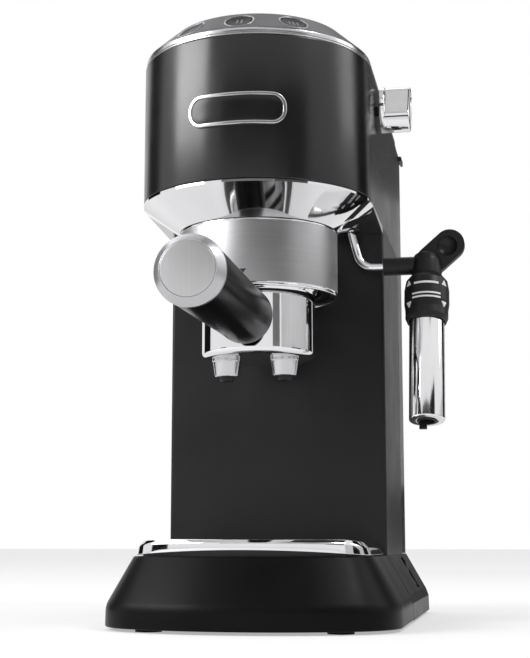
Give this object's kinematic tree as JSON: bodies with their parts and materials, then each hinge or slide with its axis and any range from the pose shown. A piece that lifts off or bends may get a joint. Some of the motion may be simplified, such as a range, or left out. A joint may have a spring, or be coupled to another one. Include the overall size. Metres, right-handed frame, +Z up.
{
  "type": "espresso machine",
  "caption": "Slim pump espresso machine with a round-fronted head, portafilter in a bayonet group, steam wand, drip tray and rear water tank.",
  "frame": {"origin": "on the counter under the brew axis, at the bottom of the middle foot", "axes": "+X to the machine's right, +Y to the back, +Z up"},
  "size_m": [0.1807, 0.3387, 0.3083],
  "materials": {
    "black_paint": "satin black baked enamel on sheet steel",
    "base_black": "satin black moulded plastic",
    "grille_black": "matt black moulded plastic",
    "chrome": "mirror chrome plating",
    "brushed": "brushed stainless steel",
    "sleeve_steel": "polished stainless steel",
    "panel_silver": "fine metallic silver paint",
    "handle_black": "glossy black moulded plastic",
    "control_black": "soft satin black moulded plastic",
    "button_dark": "dark satin key caps",
    "front_blank": "gloss black plate with a bright edge",
    "tank_smoke": "dark smoked clear plastic",
    "lid_black": "satin black moulded plastic",
    "rubber": "matt black rubber",
    "float_red": "red moulded plastic",
    "frame_grey": "dark grey moulded plastic",
    "plate_steel": "black coated sheet steel",
    "cast_alloy": "cast aluminium",
    "works_metal": "plated steel",
    "works_brass": "brass",
    "works_tube": "white tube",
    "works_board": "green switch boards",
    "socket_black": "black moulded plastic"
  },
  "bodies": {
    "machine": {"back_frame": "frame_grey", "base_housing": "base_black", "base_plate": "plate_steel", "bayonet_collar": "cast_alloy", "brew_ring": "brushed", "chrome_skirt": "chrome", "column_shell": "black_paint", "control_panel": "panel_silver", "cup_plate": "brushed", "feet": "rubber", "floor_screws": "works_metal", "flow_meter": "frame_grey", "front_plate": "front_blank", "group_deck": "plate_steel", "group_gasket": "rubber", "head_shell": "black_paint", "heater_tube": "works_metal", "mains_gland": "base_black", "pressure_tube": "works_tube", "pump": "works_metal", "pump_bracket": "frame_grey", "screen_screw": "brushed", "shower_screen": "brushed", "steam_tubes": "works_tube", "steam_valve": "works_brass", "switch_boards": "works_board", "switch_body": "base_black", "tank_seat": "grille_black", "thermoblock": "cast_alloy", "thermostats": "works_board", "top_trim": "sleeve_steel", "wand_socket": "socket_black", "water_hoses": "rubber"},
    "portafilter": {"portafilter_body": "chrome", "filter_basket": "brushed", "spouts": "chrome", "spout_tips": "grille_black", "handle": "handle_black", "handle_bolt": "works_metal", "handle_ring": "chrome", "handle_disc": "brushed"},
    "tray": {"drip_tray": "base_black"},
    "grille": {"cup_grille": "grille_black", "tray_rim": "chrome"},
    "float": {"tray_float": "float_red"},
    "knob": {"steam_knob": "chrome", "valve_spindle": "socket_black"},
    "wand": {"wand_tube": "chrome", "wand_grip": "control_black", "wand_nozzle": "brushed"},
    "selector": {"froth_selector": "control_black"},
    "sleeve": {"froth_sleeve": "sleeve_steel", "sleeve_tip": "grille_black"},
    "left_button": {"button_left": "button_dark"},
    "middle_button": {"button_middle": "button_dark"},
    "right_button": {"button_right": "button_dark"},
    "rocker": {"power_rocker": "control_black"},
    "tank": {"water_tank": "tank_smoke", "tank_fittings": "grille_black"},
    "lid": {"tank_lid": "lid_black"}
  },
  "joints": [
    {"name": "portafilter_turn", "type": "hinge", "parent": "machine", "child": "portafilter", "pos_m": [0, 0, 0.1688], "axis": [0, 0, 1], "range_deg": [-45, 0]},
    {"name": "tray_slide", "type": "slide", "parent": "machine", "child": "tray", "axis": [0, -1, 0], "range_m": [0, 0.13]},
    {"name": "grille_lift", "type": "slide", "parent": "tray", "child": "grille", "axis": [0, 0, 1], "range_m": [0, 0.06]},
    {"name": "float_rise", "type": "slide", "parent": "tray", "child": "float", "axis": [0, 0, 1], "range_m": [0, 0.008]},
    {"name": "knob_turn", "type": "hinge", "parent": "machine", "child": "knob", "pos_m": [0.0624, 0.0326, 0.2785], "axis": [1, 0, 0], "range_deg": [0, 150]},
    {"name": "wand_swing", "type": "hinge", "parent": "machine", "child": "wand", "pos_m": [0.0425, 0.0465, 0.2175], "axis": [0, 0, 1], "range_deg": [-60, 0]},
    {"name": "selector_slide", "type": "slide", "parent": "wand", "child": "selector", "axis": [0, -0.2419, -0.9703], "range_m": [0, 0.005]},
    {"name": "sleeve_pull", "type": "slide", "parent": "wand", "child": "sleeve", "axis": [0, -0.2419, -0.9703], "range_m": [0, 0.045]},
    {"name": "left_press", "type": "slide", "parent": "machine", "child": "left_button", "axis": [0.3357, 0.5745, -0.7465], "range_m": [0, 0.001], "stiffness_N_per_m": 400},
    {"name": "middle_press", "type": "slide", "parent": "machine", "child": "middle_button", "axis": [0, 0.6654, -0.7465], "range_m": [0, 0.001], "stiffness_N_per_m": 400},
    {"name": "right_press", "type": "slide", "parent": "machine", "child": "right_button", "axis": [-0.3357, 0.5745, -0.7465], "range_m": [0, 0.001], "stiffness_N_per_m": 400},
    {"name": "rocker_tip", "type": "hinge", "parent": "machine", "child": "rocker", "pos_m": [0.06469, 0.131, 0.02441], "axis": [0, 1, 0], "range_deg": [-14, 0]},
    {"name": "tank_lift", "type": "slide", "parent": "machine", "child": "tank", "axis": [0, 0, 1], "range_m": [0, 0.12]},
    {"name": "lid_open", "type": "hinge", "parent": "tank", "child": "lid", "pos_m": [0, 0.1516, 0.2904], "axis": [1, 0, 0], "range_deg": [0, 90]}
  ]
}
